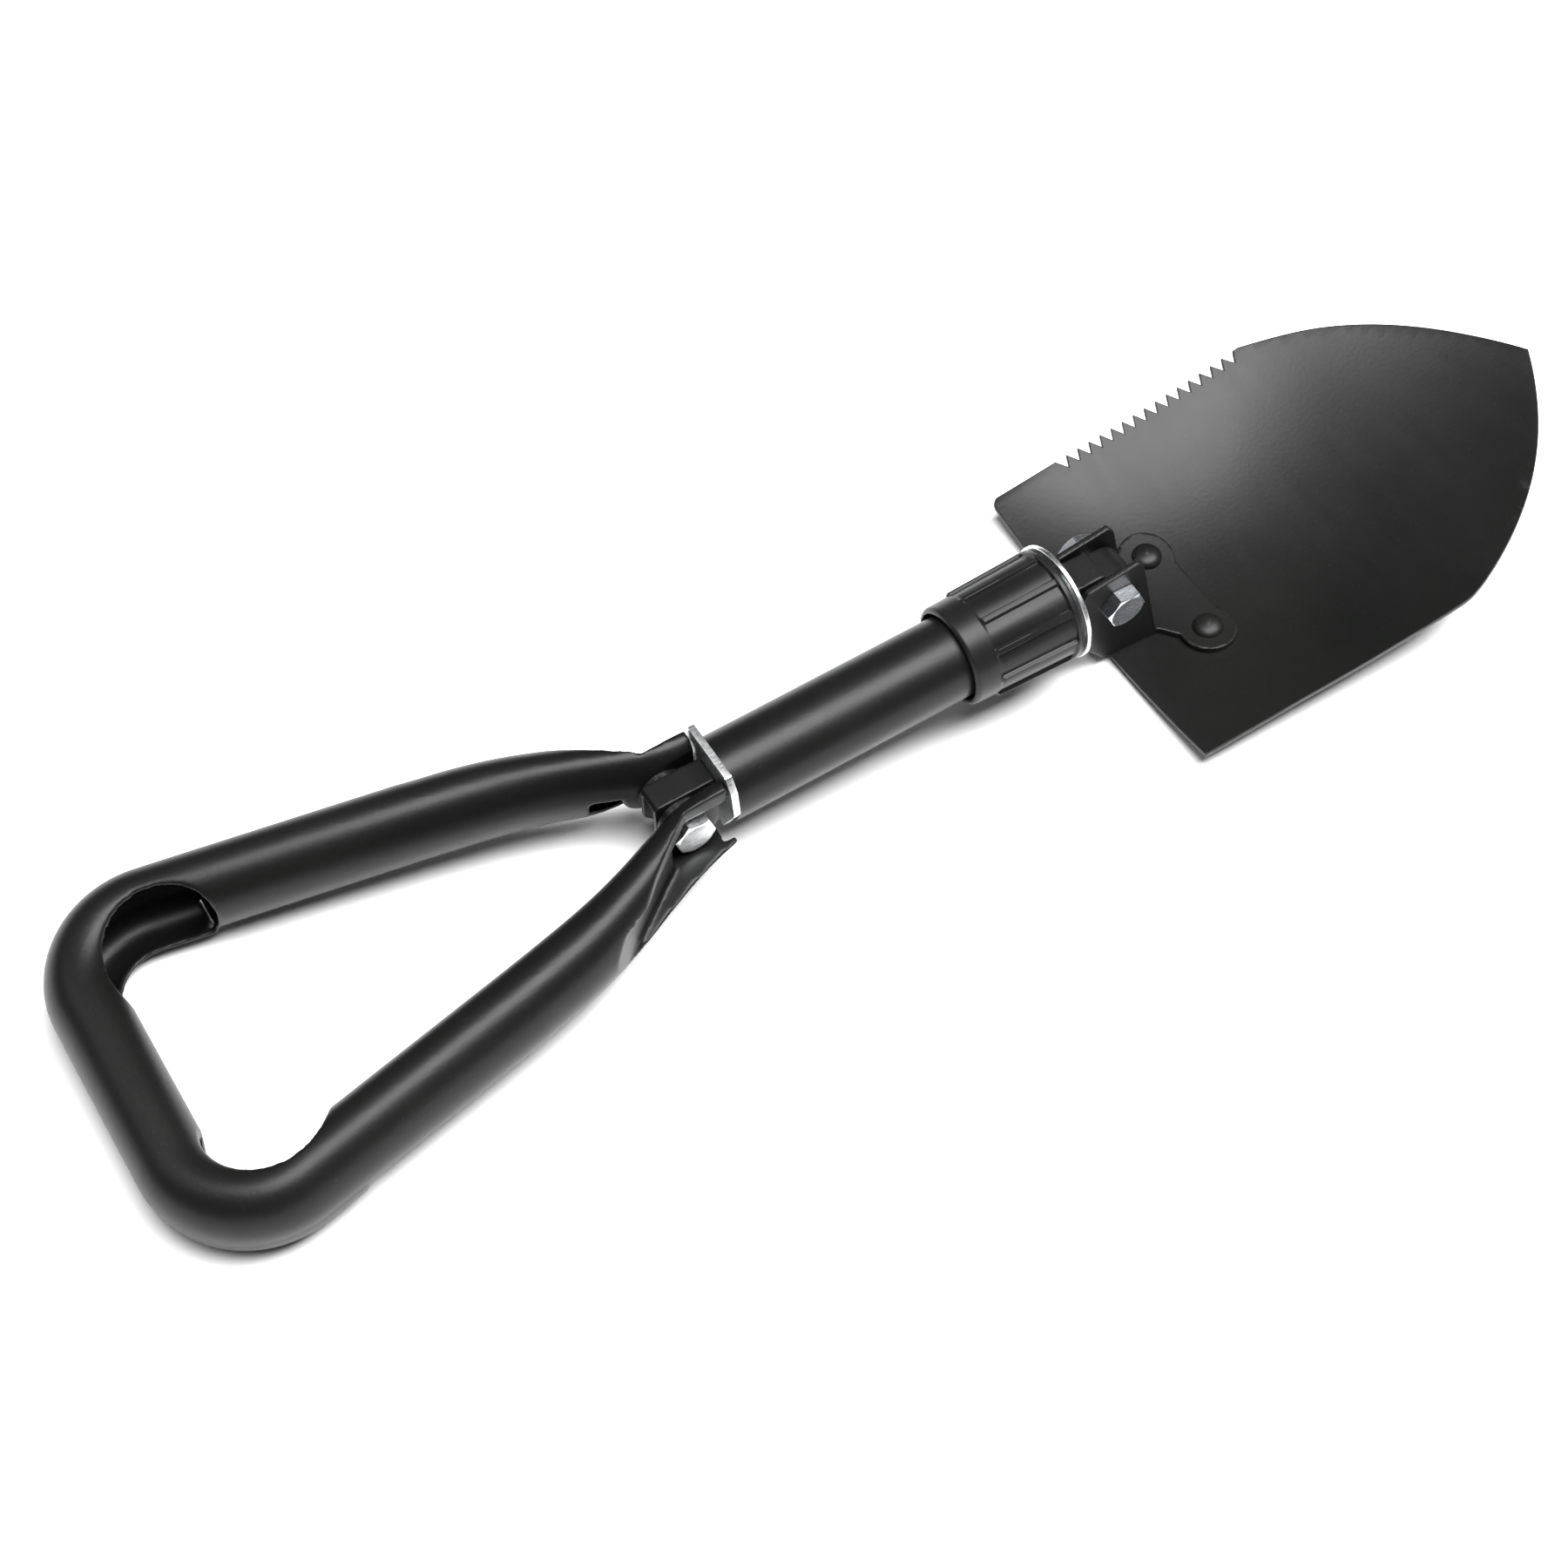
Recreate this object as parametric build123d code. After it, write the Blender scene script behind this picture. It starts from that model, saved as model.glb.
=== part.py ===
from build123d import *
import math
import os

# Folding camp shovel.  Everything is drawn in the shaft frame: the tube's axis is X,
# the blade is at +X, the hollow side of the blade faces +Z, and X = 0 is the front face
# of the lock washer.  At the end the whole shovel is tipped about Y by REST_TILT and
# moved, so that it lies on Z = 0 the way it lies on the ground.  Millimetres throughout.

# ---- shaft ------------------------------------------------------------------------
TUBE_R = 11.0
TUBE_WALL = 1.5
TUBE_BACK = -101.0
TUBE_FRONT = -0.6
SLEEVE_R = 12.6
SLEEVE_BACK = -28.6
SLEEVE_FRONT = -11.0
PIN_XS = (-15.5, -24.5)

# ---- lock collar ------------------------------------------------------------------
COLLAR_BACK = -33.0
COLLAR_FRONT = -1.9
COLLAR_R_FRONT = 15.0
COLLAR_R_BACK = 14.2
COLLAR_BAND = 7.0
COLLAR_RIBS = 10
RIB_WIDTH = 1.7
POCKET_DEPTH = 0.6
WASHER_R = 15.5
WASHER_T = 1.8
WASHER_BORE = 11.08

# ---- blade hinge ------------------------------------------------------------------
PIVOT_X = 14.2
PIVOT_Z = -2.0
EAR_OUT = 7.4
EAR_T = 1.8
EAR_TOP_REAR = 7.2
EAR_TOP_FRONT = 9.8
EAR_SWEEP_R = 13.9
TONGUE_HALF = 4.6
TONGUE_R = 7.6
TONGUE_TOP = 7.4

# ---- blade ------------------------------------------------------------------------
BLADE_T = 1.5
HEEL_X = 14.4
HEEL_HALF = 48.7
NEAR_HEEL_HALF = 48.0
SHOULDER_X = 98.0
SHOULDER_HALF = 51.2
NEAR_SHOULDER_HALF = 49.5
TIP_X = 154.5
BRACKET_T = 1.8
RIVET_X = 41.4
RIVET_Y = 13.7
LOBE_R = 7.8
SHOULDER_R = 18.0
TOOTH_PITCH = 3.77
TOOTH_COUNT = 15
TOOTH_DEPTH = 2.9
FIRST_TOOTH_X = 39.7
# x, height of the centre line, rise of the dish at 50 mm out from the centre line
BLADE_STATIONS = [
    (-6.0, -24.6, 2.0),
    (14.4, -26.0, 5.2),
    (41.0, -28.9, 10.2),
    (70.0, -27.7, 10.9),
    (98.0, -21.0, 8.2),
    (122.0, -11.4, 8.0),
    (145.0, -2.9, 8.0),
    (168.0, 5.6, 8.0),
]

# ---- handle -----------------------------------------------------------------------
HANDLE_X = -113.0
BRACKET_HALF = 3.8
BRACKET_WALL = 1.6
BRACKET_TOP = 7.2
BRACKET_END = -119.6
ROOT_HALF = 5.8
PLATE_T = 1.8
PLATE_TOP = 13.8
PLATE_HALF = 12.2
GRIP_WALL = 1.3
GRIP_FRONT = -103.1
GRIP_HALF_HEIGHT = 11.4
TAB_IN = 5.4
TAB_T = 2.2
RECESS_HALF = 6.4
RECESS_BACK = -119.2
RIM_OUT = 10.2
CROSS_X = -255.2
CORNER_R = 19.0
WINDOW_R = 14.8
SKIRT_DROP = 2.8
SKIRT_INSET = 0.3
# x, distance of the arm's centre line from the shaft's axis, half width of the arm
ARM_STATIONS = [
    (-101.0, 9.0, 5.4),
    (-113.0, 11.0, 7.0),
    (-125.0, 15.5, 7.1),
    (-138.0, 20.8, 7.7),
    (-153.0, 25.5, 8.6),
    (-170.0, 29.3, 8.9),
    (-218.0, 38.7, 8.9),
]

# ---- M6 bolts ---------------------------------------------------------------------
BOLT_R = 3.0
HEAD_FLATS = 10.0
HEAD_T = 4.0
NUT_T = 5.0
BUSH_R = 4.2
GAP = 0.05

# ---- how the shovel lies on the ground ---------------------------------------------
REST_TILT = 3.268
REST_SHIFT = (54.71, 0.0, 28.438)


def y_cylinder(x, z, radius, y0, y1):
    """A cylinder whose axis runs along Y from y0 to y1."""
    height = abs(y1 - y0)
    return Pos(x, (y0 + y1) / 2, z) * Rot(90, 0, 0) * Cylinder(radius, height)


def x_cylinder(radius, x0, x1):
    """A cylinder on the shaft's axis from x0 to x1."""
    height = abs(x1 - x0)
    return Pos((x0 + x1) / 2, 0, 0) * Rot(0, 90, 0) * Cylinder(radius, height)


def x_cone(radius0, radius1, x0, x1):
    """A cone on the shaft's axis, radius0 at x0 and radius1 at x1 (x1 > x0)."""
    return Pos((x0 + x1) / 2, 0, 0) * Rot(0, 90, 0) * Cone(radius0, radius1, x1 - x0)


def block(x0, x1, y0, y1, z0, z1):
    """A box given by its limits."""
    size = Box(x1 - x0, abs(y1 - y0), z1 - z0)
    return Pos((x0 + x1) / 2, (y0 + y1) / 2, (z0 + z1) / 2) * size


def y_slab(points, y0, y1):
    """A profile in the XZ plane, given as (x, z) points, made solid from y0 to y1."""
    profile = make_face(Polyline([(x, y0, z) for x, z in points], close=True))
    return extrude(profile, y1 - y0, dir=(0, 1, 0))


def hexagon_prism(x, z, y0, y1):
    """A hexagon bar along Y from y0 to y1, with its flats HEAD_FLATS apart."""
    plane = Plane(origin=(x, min(y0, y1), z), x_dir=(1, 0, 0), z_dir=(0, 1, 0))
    face = plane * RegularPolygon(HEAD_FLATS / math.sqrt(3), 6)
    return extrude(face, abs(y1 - y0), dir=(0, 1, 0))


# ---- shaft parts ------------------------------------------------------------------
def shaft_tube():
    outer = x_cylinder(TUBE_R, TUBE_BACK, TUBE_FRONT)
    inner = x_cylinder(TUBE_R - TUBE_WALL, TUBE_BACK - 1, TUBE_FRONT + 1)
    return outer - inner - tongue_pin_holes()


def threaded_sleeve():
    outer = x_cylinder(SLEEVE_R, SLEEVE_BACK, SLEEVE_FRONT)
    inner = x_cylinder(TUBE_R, SLEEVE_BACK - 1, SLEEVE_FRONT + 1)
    return outer - inner - tongue_pin_holes()


def tongue_pin_holes():
    holes = [y_cylinder(x, 0, 2.0, -14, 14) for x in PIN_XS]
    return holes[0] + holes[1]


def tongue_pins():
    """Two cross pins, flush with the sleeve, that hold the tongue in the tube."""
    pins = [y_cylinder(x, 0, 2.0, -14, 14) for x in PIN_XS]
    return [pin & x_cylinder(SLEEVE_R, SLEEVE_BACK, SLEEVE_FRONT) for pin in pins]


def blade_tongue():
    """The flat tongue on the shaft that the blade's bolt goes through."""
    bottom = PIVOT_Z - TONGUE_R
    top = PIVOT_Z + TONGUE_R
    head = block(TUBE_FRONT, PIVOT_X, -TONGUE_HALF, TONGUE_HALF, bottom, top)
    head += block(TUBE_FRONT, PIVOT_X - 3, -TONGUE_HALF, TONGUE_HALF, 0, TONGUE_TOP)
    nose = y_cylinder(PIVOT_X, PIVOT_Z, TONGUE_R, -TONGUE_HALF, TONGUE_HALF)
    root = block(-31, TUBE_FRONT, -TONGUE_HALF, TONGUE_HALF, -7.4, 7.4)
    bore = y_cylinder(PIVOT_X, PIVOT_Z, BUSH_R + GAP, -9, 9)
    return head + nose + root - bore - tongue_pin_holes()


def handle_bracket():
    """An upside-down channel that sticks out of the tube's back end."""
    half = BRACKET_HALF
    outer = y_slab([(BRACKET_END + 1, BRACKET_TOP), (TUBE_BACK - PLATE_T, BRACKET_TOP),
                    (TUBE_BACK - PLATE_T, -7.6), (BRACKET_END + 3, -7.6),
                    (BRACKET_END, -4.0), (BRACKET_END, BRACKET_TOP - 1)], -half, half)
    hollow = block(BRACKET_END - 1, TUBE_BACK + 1, -half + BRACKET_WALL,
                   half - BRACKET_WALL, -12, BRACKET_TOP - BRACKET_WALL)
    inner = half - BRACKET_WALL
    root = block(TUBE_BACK - 3, -80, -half, half, -ROOT_HALF, ROOT_HALF)
    root -= block(TUBE_BACK - 4, -79, -inner, inner, -12, ROOT_HALF - BRACKET_WALL)
    bore = y_cylinder(HANDLE_X, 0, BUSH_R + GAP, -12, 12)
    return (outer - hollow) + root - bore


def stop_plate():
    """The bright end plate that the handle's arms butt against."""
    right = [(8.8, PLATE_TOP), (PLATE_HALF - 0.9, 9.8), (PLATE_HALF, 1.5),
             (PLATE_HALF - 1.4, -1.5), (8.4, -6.0), (6.4, -10.4)]
    left = [(-y, z) for y, z in reversed(right)]
    points = right + left
    back = TUBE_BACK - PLATE_T
    profile = make_face(Polyline([(back, y, z) for y, z in points], close=True))
    plate = extrude(profile, PLATE_T, dir=(1, 0, 0))
    plate = fillet(plate.edges().filter_by(Axis.X), 1.0)
    slot = block(back - 1, TUBE_BACK + 1, -BRACKET_HALF, BRACKET_HALF, -ROOT_HALF, ROOT_HALF)
    return plate - slot


# ---- lock collar parts --------------------------------------------------------------
def collar_washer():
    """The bright ring the collar pushes against the blade's ears."""
    ring = x_cylinder(WASHER_R, -WASHER_T, 0) - x_cylinder(WASHER_BORE, -3, 1)
    hub = x_cylinder(12.8, -3.6, -WASHER_T) - x_cylinder(WASHER_BORE, -5, 1)
    lip = x_cylinder(13.5, -4.6, -3.6) - x_cylinder(WASHER_BORE, -6, 1)
    return ring + hub + lip


def collar_body_radius(x):
    share = (x - COLLAR_BACK) / (COLLAR_FRONT - COLLAR_BACK)
    return COLLAR_R_BACK + share * (COLLAR_R_FRONT - COLLAR_R_BACK)


def collar_nut():
    """The plastic collar: a smooth band at the back, ribs and shallow pockets in front."""
    outer = x_cone(COLLAR_R_BACK, COLLAR_R_FRONT, COLLAR_BACK, COLLAR_FRONT)
    back_rim = outer.edges().sort_by(Axis.X)[0]
    outer = fillet(back_rim, 1.8)
    pocket_back = COLLAR_BACK + COLLAR_BAND
    pocket_front = COLLAR_FRONT - 1.6
    radius_back = collar_body_radius(pocket_back) - POCKET_DEPTH
    radius_front = collar_body_radius(pocket_front) - POCKET_DEPTH
    skin = x_cylinder(20, pocket_back, pocket_front)
    skin -= x_cone(radius_back, radius_front, pocket_back, pocket_front)
    ribs = block(pocket_back - 1, pocket_front + 1, -RIB_WIDTH / 2, RIB_WIDTH / 2, 0, 20)
    for index in range(COLLAR_RIBS):
        skin -= Rot(360.0 / COLLAR_RIBS * (index + 0.5), 0, 0) * ribs
    body = outer - skin
    body -= x_cylinder(12.0, COLLAR_BACK - 1, COLLAR_BACK + 4.5)
    body -= x_cylinder(13.0, COLLAR_BACK + 4, -9.4)
    return body - x_cylinder(13.7, -9.6, 0)


def collar_insert():
    """The steel nut moulded into the plastic collar."""
    return x_cylinder(13.0, -28.6, -9.7) - x_cylinder(SLEEVE_R + GAP, -40, 0)


def collar_snap_ring():
    """The ring that keeps the bright washer captive in the collar."""
    ring = x_cylinder(13.7, -3.5, -2.1) - x_cylinder(12.85, -5, 0)
    return ring - block(-6, 0, -1.5, 1.5, 5, 20)


# ---- blade parts ------------------------------------------------------------------
def catmull(before, start, end, after, share):
    """A smooth curve from start to end that also heads along its neighbours."""
    first = 2 * start
    second = (end - before) * share
    third = (2 * before - 5 * start + 4 * end - after) * share ** 2
    fourth = (3 * start - before - 3 * end + after) * share ** 3
    return 0.5 * (first + second + third + fourth)


def from_stations(x, stations, column):
    """Read a smooth value at x from a column of a station list sorted by x."""
    last = len(stations) - 2
    index = max(i for i in range(last + 1) if i == 0 or stations[i][0] <= x)
    share = (x - stations[index][0]) / (stations[index + 1][0] - stations[index][0])
    picks = [stations[min(max(index + k, 0), last + 1)][column] for k in (-1, 0, 1, 2)]
    return catmull(*picks, share)


def blade_height(x, y):
    """Height of the blade's hollow face."""
    centre = from_stations(x, BLADE_STATIONS, 1)
    rise = from_stations(x, BLADE_STATIONS, 2)
    return centre + rise * (y / 50.0) ** 2


def blade_surface(lift=0.0):
    rows = []
    for i in range(28):
        x = 0.0 + 160.0 * i / 27
        line = []
        for j in range(15):
            y = -56.0 + 112.0 * j / 14
            line.append(Vector(x, y, blade_height(x, y) + lift))
        rows.append(line)
    return Face.make_surface_from_array_of_points(rows, tol=0.01, min_deg=3, max_deg=3)


def layer(bottom, top):
    """The space between two copies of the blade's face, shifted in height."""
    skin = blade_surface(bottom)
    return Solid.extrude(skin, Vector(0, 0, top - bottom))


def edge_half(x):
    """Distance of the blade's straight edge from its centre line."""
    share = (x - HEEL_X) / (SHOULDER_X - HEEL_X)
    return HEEL_HALF + share * (SHOULDER_HALF - HEEL_HALF)


def saw_points():
    """The toothed edge from the heel end to the shoulder, as (x, y) points."""
    rake = 0.3 * TOOTH_PITCH
    first = FIRST_TOOTH_X - TOOTH_PITCH
    points = [(first, edge_half(first))]
    for index in range(TOOTH_COUNT + 1):
        tip = FIRST_TOOTH_X + index * TOOTH_PITCH
        root = tip - rake
        points.append((root, edge_half(root) - TOOTH_DEPTH))
        points.append((tip, edge_half(tip) + (0.2 if index < TOOTH_COUNT else 0.0)))
    return points


def blade_outline():
    saw = saw_points()
    left = Polyline([(HEEL_X, HEEL_HALF)] + saw + [(SHOULDER_X, SHOULDER_HALF)])
    arc_left = ThreePointArc((SHOULDER_X, SHOULDER_HALF), (130.5, 32.4), (TIP_X, 0))
    shoulder_point = (SHOULDER_X, -NEAR_SHOULDER_HALF)
    heel_point = (HEEL_X, -NEAR_HEEL_HALF)
    arc_right = ThreePointArc((TIP_X, 0), (130.5, -31.8), shoulder_point)
    right = Line(shoulder_point, heel_point)
    heel = Line(heel_point, (HEEL_X, HEEL_HALF))
    outline = make_face([left, arc_left, arc_right, right, heel])
    corner = outline.vertices().sort_by_distance((HEEL_X, HEEL_HALF))[0]
    outline = fillet(corner, 2.4)
    shoulder = outline.vertices().sort_by_distance(shoulder_point)[0]
    return fillet(shoulder, SHOULDER_R)


def rivet_holes():
    holes = [Pos(RIVET_X, side * RIVET_Y, -20) * Cylinder(2.4, 60) for side in (1, -1)]
    return holes[0] + holes[1]


def blade_plate():
    prism = extrude(Pos(0, 0, -60) * blade_outline(), 100)
    return (layer(-BLADE_T, 0.0) & prism) - rivet_holes()


def bracket_outline():
    """The foot of the hinge bracket: a strip under the ears and two round lobes."""
    strip = Pos(26.2, 0) * Rectangle(25.6, 2 * EAR_OUT)
    web = make_face(Polyline([(30, EAR_OUT), (38, 17), (45, 17), (47.6, 8), (47.6, -8),
                              (45, -17), (38, -17), (30, -EAR_OUT)], close=True))
    shape = strip + web
    for side in (1, -1):
        shape += Pos(RIVET_X, side * RIVET_Y) * Circle(LOBE_R)
    return shape


def ear_profile():
    """The ear seen from the side, as a face in the XZ plane."""
    return [(0.4, -10.0), (0.4, EAR_TOP_REAR), (19.4, EAR_TOP_FRONT),
            (21.2, EAR_TOP_FRONT - 2.4), (30.0, -30.0), (15.4, -30.0), (7.6, -20.3)]


def blade_bracket():
    """The folded steel bracket: a foot on the blade and two ears for the hinge bolt."""
    foot = layer(0.0, BRACKET_T) & extrude(Pos(0, 0, -60) * bracket_outline(), 100)
    cap = y_cylinder(PIVOT_X, PIVOT_Z, EAR_SWEEP_R, -20, 20)
    low = block(-10, 60, -20, 20, -60, PIVOT_Z)
    ears = None
    for side in (1, -1):
        inner = side * (EAR_OUT - EAR_T)
        outer = side * EAR_OUT
        ear = y_slab(ear_profile(), min(inner, outer), max(inner, outer))
        ear = (ear & cap) + (ear & low)
        ears = ear if ears is None else ears + ear
    ears -= layer(-20.0, 0.0)
    bore = y_cylinder(PIVOT_X, PIVOT_Z, BOLT_R + GAP, -12, 12)
    return foot + ears - bore - rivet_holes()


def blade_rivet(side):
    """A rivet with a domed head on the hollow side and a flat one behind the blade."""
    x = RIVET_X
    y = side * RIVET_Y
    top = blade_height(x, y) + BRACKET_T
    back = top - BRACKET_T - BLADE_T
    shank = Pos(x, y, top - 1.8) * Cylinder(2.4, 4.4)
    dome = Pos(x, y, top - 3.2) * Sphere(5.1)
    dome &= Pos(x, y, top + 4) * Cylinder(4.1, 9.4)
    tail = Pos(x, y, back) * Cylinder(3.6, 2.0)
    solid = dome + shank + tail
    return solid - layer(0.0, BRACKET_T) - layer(-BLADE_T, 0.0) + (shank & rivet_holes())


def blade_bolt():
    head = hexagon_prism(PIVOT_X, PIVOT_Z, -EAR_OUT - HEAD_T, -EAR_OUT)
    head &= y_cylinder(PIVOT_X, PIVOT_Z, 5.6, -EAR_OUT - HEAD_T, -EAR_OUT)
    return head + y_cylinder(PIVOT_X, PIVOT_Z, BOLT_R, -EAR_OUT, EAR_OUT + NUT_T + 1.2)


def blade_nut():
    nut = hexagon_prism(PIVOT_X, PIVOT_Z, EAR_OUT, EAR_OUT + NUT_T)
    return nut - y_cylinder(PIVOT_X, PIVOT_Z, BOLT_R, 0, 30)


def blade_bush():
    half = EAR_OUT - EAR_T
    bush = y_cylinder(PIVOT_X, PIVOT_Z, BUSH_R, -half, half)
    return bush - y_cylinder(PIVOT_X, PIVOT_Z, BOLT_R, -20, 20)


# ---- handle parts -----------------------------------------------------------------
def arm_heading():
    """Direction of the arm's straight part, seen from above."""
    before, last = ARM_STATIONS[-2], ARM_STATIONS[-1]
    return math.atan2(last[1] - before[1], last[0] - before[0])


def corner_centre():
    """Centre of the bend between the far arm and the crossbar."""
    last_x, last_y, _ = ARM_STATIONS[-1]
    turn = math.radians(270.0) - arm_heading()
    corner_y = last_y + (last_x - CROSS_X) * math.tan(math.pi - arm_heading())
    return CROSS_X + CORNER_R, corner_y - CORNER_R * math.tan(turn / 2)


def oval(x, y, heading, half, inset):
    """One cross-section of the grip, square to its centre line."""
    direction = Vector(math.cos(heading), math.sin(heading), 0)
    plane = Plane(origin=(x, y, 0), x_dir=direction.cross(Vector(0, 0, 1)),
                  z_dir=direction)
    return plane * Ellipse(half - inset, GRIP_HALF_HEIGHT - inset)


def arm_skin(inset):
    """The part of the far arm that swells from the hinge to the straight stretch."""
    sections = []
    stations = ARM_STATIONS[:-1]
    for index, (x, y, half) in enumerate(stations):
        ahead = ARM_STATIONS[index + 1]
        behind = ARM_STATIONS[max(index - 1, 0)]
        heading = math.atan2(ahead[1] - behind[1], ahead[0] - behind[0])
        if index == len(stations) - 1:
            heading = arm_heading()
        sections.append(oval(x, y, heading, half, inset))
    return loft(sections)


def bow_skin(inset):
    """The straight stretches, the two bends and the crossbar, as one sweep."""
    x, y, half = ARM_STATIONS[-2]
    reach = CORNER_R * math.tan((math.radians(270.0) - arm_heading()) / 2)
    corner = corner_centre()[1] + reach
    path = FilletPolyline((x, y, 0), (CROSS_X, corner, 0), (CROSS_X, -corner, 0),
                          (x, -y, 0), radius=CORNER_R)
    return sweep(oval(x, y, arm_heading(), half, inset), path=path)


def grip_skin(inset):
    """The whole grip as a solid, with its surface moved inwards by inset."""
    arm = arm_skin(inset)
    return bow_skin(inset) + arm + mirror(arm, about=Plane.XZ)


def outline_slab(points, side, z0, z1):
    """A plan outline, given as (x, y) points of the far side, made solid from z0 to z1."""
    face = make_face(Polyline([(x, side * y) for x, y in points], close=True))
    return Pos(0, 0, z0) * extrude(face, z1 - z0, dir=(0, 0, 1))


def recess(side, grow):
    """The hollow pressed into an arm's outer face round the hinge bolt.

    Above the hollow the arm's upper ridge is pressed in too, as far as RIM_OUT, so that
    the bolt's head can be reached from above.
    """
    seat = TAB_IN + TAB_T
    rim = RIM_OUT - (GRIP_WALL if grow else 0.0)
    ridge = [(-90, rim), (-115, rim), (-129, rim + 10.8), (-146, 36), (-146, 38), (-90, 38)]
    if grow:
        points = [(-90, 3), (RECESS_BACK - 1.8, 3), (RECESS_BACK - 2.8, 12.6), (-151, 34)]
    else:
        points = [(-90, seat), (RECESS_BACK, seat), (RECESS_BACK - 1.2, 12.9), (-150, 35)]
    points += [(points[-1][0], 38), (-90, 38)]
    half = RECESS_HALF + (GRIP_WALL if grow else 0.0)
    return outline_slab(points, side, -half, half) + outline_slab(ridge, side, 0, 20)


def arm_relief():
    """What is cut from the arms so that they swing past the stop plate and the tube."""
    wide = PLATE_HALF + 0.3
    low = block(-130, -80, -wide, wide, -40, 0) - y_cylinder(HANDLE_X, 0, 9.7, -50, 50)
    between = block(-128, -80, -TAB_IN, TAB_IN, -40, 40)
    front = block(GRIP_FRONT, -80, -40, 40, -40, 40)
    return [low, between, front]


def corner_window(side):
    """The opening in the inner wall at a corner of the grip."""
    x, y = corner_centre()
    return Pos(x + 3, side * (y + 2), 4.6) * Cylinder(WINDOW_R, 27.0)


def corner_zones():
    """The space where the grip's underside hangs lower, at its two corners."""
    x, y = corner_centre()
    zones = [block(x - 40, x + 16, side * y, side * (y + 40), -30, -2) for side in (1, -1)]
    return zones[0] + zones[1]


def skirt(inset):
    """The lowered underside at the corners, with its surface moved inwards by inset."""
    return (Pos(0, 0, -SKIRT_DROP) * bow_skin(SKIRT_INSET + inset)) & corner_zones()


def handle_grip():
    """The pressed steel grip: hollow oval arms and crossbar, flat tabs at the hinge."""
    outer = grip_skin(0.0) + skirt(0.0)
    hollow = grip_skin(GRIP_WALL) + skirt(GRIP_WALL)
    for side in (1, -1):
        outer = outer - recess(side, False)
        hollow = hollow - recess(side, True)
    grip = outer - hollow
    for side in (1, -1):
        grip -= corner_window(side)
        grip -= y_cylinder(HANDLE_X, 0, BOLT_R + GAP, side * 3, side * 20)
    for cut in arm_relief():
        grip -= cut
    return grip


def handle_washer(side):
    y0, y1 = sorted((side * (BRACKET_HALF + GAP), side * (TAB_IN - GAP)))
    washer = y_cylinder(HANDLE_X, 0, 6.4, y0, y1)
    return washer - y_cylinder(HANDLE_X, 0, BUSH_R + GAP, -20, 20)


def handle_bolt():
    face = TAB_IN + TAB_T
    head = hexagon_prism(HANDLE_X, 0, -face - HEAD_T, -face)
    head &= y_cylinder(HANDLE_X, 0, 5.6, -face - HEAD_T, -face)
    return head + y_cylinder(HANDLE_X, 0, BOLT_R, -face, face + NUT_T + 1.0)


def handle_nut():
    face = TAB_IN + TAB_T
    nut = hexagon_prism(HANDLE_X, 0, face, face + NUT_T)
    return nut - y_cylinder(HANDLE_X, 0, BOLT_R, 0, 30)


def handle_bush():
    half = TAB_IN
    bush = y_cylinder(HANDLE_X, 0, BUSH_R, -half, half)
    return bush - y_cylinder(HANDLE_X, 0, BOLT_R, -20, 20)


def rest(shape):
    """Tip a finished shape from the shaft frame to the way the shovel lies."""
    return Pos(*REST_SHIFT) * Rot(0, -REST_TILT, 0) * shape


PARTS = {
    "shaft_tube": shaft_tube,
    "threaded_sleeve": threaded_sleeve,
    "tongue_pins": tongue_pins,
    "blade_tongue": blade_tongue,
    "handle_bracket": handle_bracket,
    "stop_plate": stop_plate,
    "collar_washer": collar_washer,
    "collar_nut": collar_nut,
    "collar_insert": collar_insert,
    "collar_snap_ring": collar_snap_ring,
    "blade_plate": blade_plate,
    "blade_bracket": blade_bracket,
    "blade_rivet_left": lambda: blade_rivet(1),
    "blade_rivet_right": lambda: blade_rivet(-1),
    "blade_pivot_bolt": blade_bolt,
    "blade_pivot_nut": blade_nut,
    "blade_pivot_bush": blade_bush,
    "handle_grip": handle_grip,
    "handle_washer_left": lambda: handle_washer(1),
    "handle_washer_right": lambda: handle_washer(-1),
    "handle_pivot_bolt": handle_bolt,
    "handle_pivot_nut": handle_nut,
    "handle_pivot_bush": handle_bush,
}

os.makedirs("parts", exist_ok=True)
for name, make in PARTS.items():
    made = make()
    pieces = made if isinstance(made, list) else [made]
    placed = Compound(children=[rest(piece) for piece in pieces])
    placed.label = name
    export_step(placed, "parts/" + name + ".step")
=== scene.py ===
import bmesh
import bpy
import math
from mathutils import Matrix, Vector

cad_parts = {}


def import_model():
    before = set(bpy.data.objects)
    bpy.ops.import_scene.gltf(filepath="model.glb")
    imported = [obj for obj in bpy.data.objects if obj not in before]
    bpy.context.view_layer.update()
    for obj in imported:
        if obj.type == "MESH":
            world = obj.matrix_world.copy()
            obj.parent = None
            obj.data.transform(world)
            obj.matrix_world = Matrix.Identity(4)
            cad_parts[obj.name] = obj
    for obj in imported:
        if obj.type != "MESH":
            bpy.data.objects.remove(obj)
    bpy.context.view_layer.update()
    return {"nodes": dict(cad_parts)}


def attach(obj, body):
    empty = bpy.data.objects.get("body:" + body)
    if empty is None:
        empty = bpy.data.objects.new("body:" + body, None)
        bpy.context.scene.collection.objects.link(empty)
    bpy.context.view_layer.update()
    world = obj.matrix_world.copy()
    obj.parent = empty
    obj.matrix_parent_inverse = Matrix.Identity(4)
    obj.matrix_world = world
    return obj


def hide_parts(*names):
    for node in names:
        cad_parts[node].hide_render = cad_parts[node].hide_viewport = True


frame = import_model()
nodes = frame["nodes"]

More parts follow.
